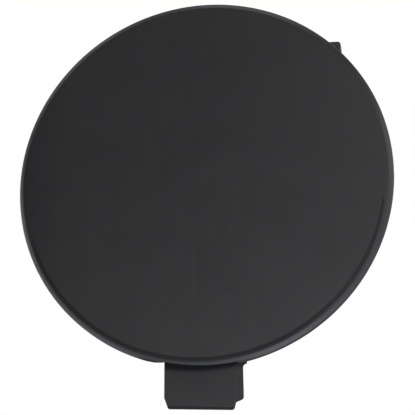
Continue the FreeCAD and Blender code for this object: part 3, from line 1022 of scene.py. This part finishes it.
def satin_plastic(cover):
    """Dark moulded plastic with a fine grain, a painted highlight at its edges, and painted shade with dull
    roughness in its creases, its recess and along the tongue's tip.
    """
    plastic = cover.plastic
    material = bpy.data.materials.new("satin plastic")
    make = NodeMaker(material)
    surface = Surface(make)
    # Painted shade: the crease's dark line, the tongue's tip and the deep shade of the recess darken the
    # colour and dull the roughness.
    crease_shade = painted_crease_shade(make, plastic, cover.plate, surface)
    tip = make.both(painted_tip_shade(make, cover, surface), TIP_SHADE_STRENGTH)
    deep = recess_share(make, cover, surface)
    dull = make.maths("MAXIMUM", crease_shade, make.maths("MAXIMUM", tip, deep))

    body = weathered_body(make, plastic, surface)
    # Painted highlight: a paler colour on the rim's edge and on the catches.
    body = make.mix(painted_highlight_share(make, plastic, cover, surface), body, opaque(plastic.highlit))
    body = make.mix(make.both(speck_share(make, surface), SPECK_STRENGTH), body, opaque(plastic.speck))
    body = make.mix(dull, body, opaque(plastic.shaded))

    spread = plastic.roughness_spread / 2
    satin = make.between(make.noise(surface.place, SATIN_SCALE, detail=3.0), *SATIN_NOISE,
                         plastic.roughness - spread, plastic.roughness + spread)
    roughness = make.add("Mix", {0: dull, 2: satin, 3: plastic.dull}).outputs[0]
    wave = make.add("Bump", {
        "Height": make.noise(surface.place, plastic.wave, detail=1.0), "Distance": plastic.wave_height})
    grain = make.add("Bump", {
        "Height": make.noise(surface.place, plastic.grain, detail=2.0, roughness=0.6),
        "Distance": plastic.grain_height, "Normal": wave.outputs["Normal"]})
    shader = make.add("BsdfPrincipled", {
        "Base Color": body, "Roughness": roughness, "Normal": grain.outputs["Normal"], "IOR": 1.5})
    make.add("OutputMaterial", {"Surface": shader.outputs["BSDF"]})
    return material


class TOWCOVER_OT_studio(Step, Operator):
    """Pale floor, soft lamps, white surroundings and the camera"""

    bl_idname = "towcover.studio"
    bl_label = "Studio"

    def execute(self, context):
        studio = settings().studio
        self.add_camera(context, studio)
        self.add_floor(studio)
        self.add_lamps()
        self.light_surroundings(context, studio)
        context.scene.view_settings.view_transform = "Standard"
        return {"FINISHED"}

    def add_camera(self, context, studio):
        data = bpy.data.cameras.new("camera")
        data.lens = studio.lens
        data.clip_start = studio.distance / 10
        data.clip_end = CAMERA_SIGHT
        camera = stand("camera", data)
        back = direction(studio.azimuth, studio.elevation)
        right = Vector((math.cos(studio.azimuth), math.sin(studio.azimuth), 0.0))
        up = back.cross(right)
        turn = Matrix.Rotation(studio.roll, 3, back)
        axes = Matrix((turn @ right, turn @ up, back)).transposed()
        place = Matrix.Translation(Vector(studio.target) + back * studio.distance)
        camera.matrix_world = place @ axes.to_4x4()
        context.scene.camera = camera

    def add_floor(self, studio):
        builder = bmesh.new()
        bmesh.ops.create_grid(builder, x_segments=1, y_segments=1, size=FLOOR_SIDE / 2)
        mesh = bpy.data.meshes.new("floor")
        builder.to_mesh(mesh)
        builder.free()
        floor = stand("floor", mesh)
        floor.location.z = studio.floor_height
        material = bpy.data.materials.new("pale floor")
        make = NodeMaker(material)
        lit = make.add("BsdfDiffuse", {"Color": opaque(studio.floor_colour)})
        seen = make.add("LightPath").outputs["Is Camera Ray"]
        glow = make.add("Emission", {
            "Color": opaque(studio.floor_colour), "Strength": make.both(seen, studio.floor_glow)})
        shader = make.add("AddShader", {0: lit.outputs[0], 1: glow.outputs[0]})
        make.add("OutputMaterial", {"Surface": shader.outputs[0]})
        mesh.materials.append(material)

    def add_lamps(self):
        for lamp in LAMPS:
            data = bpy.data.lights.new(lamp.name, "AREA")
            data.shape = "DISK"
            data.size = lamp.size
            data.energy = lamp.power
            data.color = lamp.tint
            spot = lamp.distance * direction(math.radians(lamp.azimuth), math.radians(lamp.elevation))
            made = stand(lamp.name, data)
            made.location = spot
            made.rotation_euler = (-spot).to_track_quat("-Z", "Y").to_euler()
            made.visible_camera = False

    def light_surroundings(self, context, studio):
        """White where the camera looks, and grey for what it lights."""
        world = bpy.data.worlds.new("studio")
        make = NodeMaker(world)
        seen = make.add("LightPath").outputs["Is Camera Ray"]
        wall = make.add("Background", {"Color": (1, 1, 1, 1), "Strength": studio.surroundings})
        white = make.add("Background", {"Color": (1, 1, 1, 1), "Strength": 1.0})
        both = make.add("MixShader", {0: seen, 1: wall.outputs[0], 2: white.outputs[0]})
        make.add("OutputWorld", {"Surface": both.outputs[0]})
        context.scene.world = world


class TOWCOVER_PG_cover(PropertyGroup):
    """Everything that a user can set."""

    plate: group(TOWCOVER_PG_plate, "Front Plate", "Front plate")
    collar: group(TOWCOVER_PG_collar, "Collar", "Collar")
    ribs: group(TOWCOVER_PG_ribs, "Ribs", "Ribs and moulding marks")
    tongue: group(TOWCOVER_PG_tongue, "Tongue", "Locating tongue")
    hooks: group(TOWCOVER_PG_hooks, "Hooks", "Snap hooks")
    plastic: group(TOWCOVER_PG_plastic, "Plastic", "Finish of the plastic")
    studio: group(TOWCOVER_PG_studio, "Studio", "Camera, floor and lamps")


STEPS = (
    TOWCOVER_OT_front_plate,
    TOWCOVER_OT_collar,
    TOWCOVER_OT_stiffening_ribs,
    TOWCOVER_OT_tongue,
    TOWCOVER_OT_snap_hooks,
    TOWCOVER_OT_moulding,
    TOWCOVER_OT_studio,
)


class TOWCOVER_PT_panel(Panel):
    """Buttons that make the cover form by form"""

    bl_label = "Tow Hook Cover"
    bl_idname = "TOWCOVER_PT_panel"
    bl_space_type = "VIEW_3D"
    bl_region_type = "UI"
    bl_category = "Tow Hook Cover"

    def draw(self, context):
        column = self.layout.column(align=True)
        for step in STEPS:
            column.operator(step.bl_idname)
        cover = context.scene.tow_cover
        for part in (cover.plate, cover.collar, cover.ribs, cover.tongue, cover.hooks,
                     cover.plastic, cover.studio):
            box = self.layout.box()
            for name in part.bl_rna.properties.keys():
                if name not in ("rna_type", "name"):
                    box.prop(part, name)


CLASSES = (
    TOWCOVER_PG_plate,
    TOWCOVER_PG_collar,
    TOWCOVER_PG_ribs,
    TOWCOVER_PG_tongue,
    TOWCOVER_PG_hooks,
    TOWCOVER_PG_plastic,
    TOWCOVER_PG_studio,
    TOWCOVER_PG_cover,
    *STEPS,
    TOWCOVER_PT_panel,
)


def register():
    for item in CLASSES:
        bpy.utils.register_class(item)
    bpy.types.Scene.tow_cover = group(TOWCOVER_PG_cover, "Tow Hook Cover", "Sizes and finish of the cover")


def unregister():
    del bpy.types.Scene.tow_cover
    for item in reversed(CLASSES):
        bpy.utils.unregister_class(item)


def main():
    register()
    bpy.ops.towcover.front_plate()
    bpy.ops.towcover.collar()
    bpy.ops.towcover.stiffening_ribs()
    bpy.ops.towcover.tongue()
    bpy.ops.towcover.snap_hooks()
    bpy.ops.towcover.moulding()
    bpy.ops.towcover.studio()


if __name__ == "__main__":
    main()
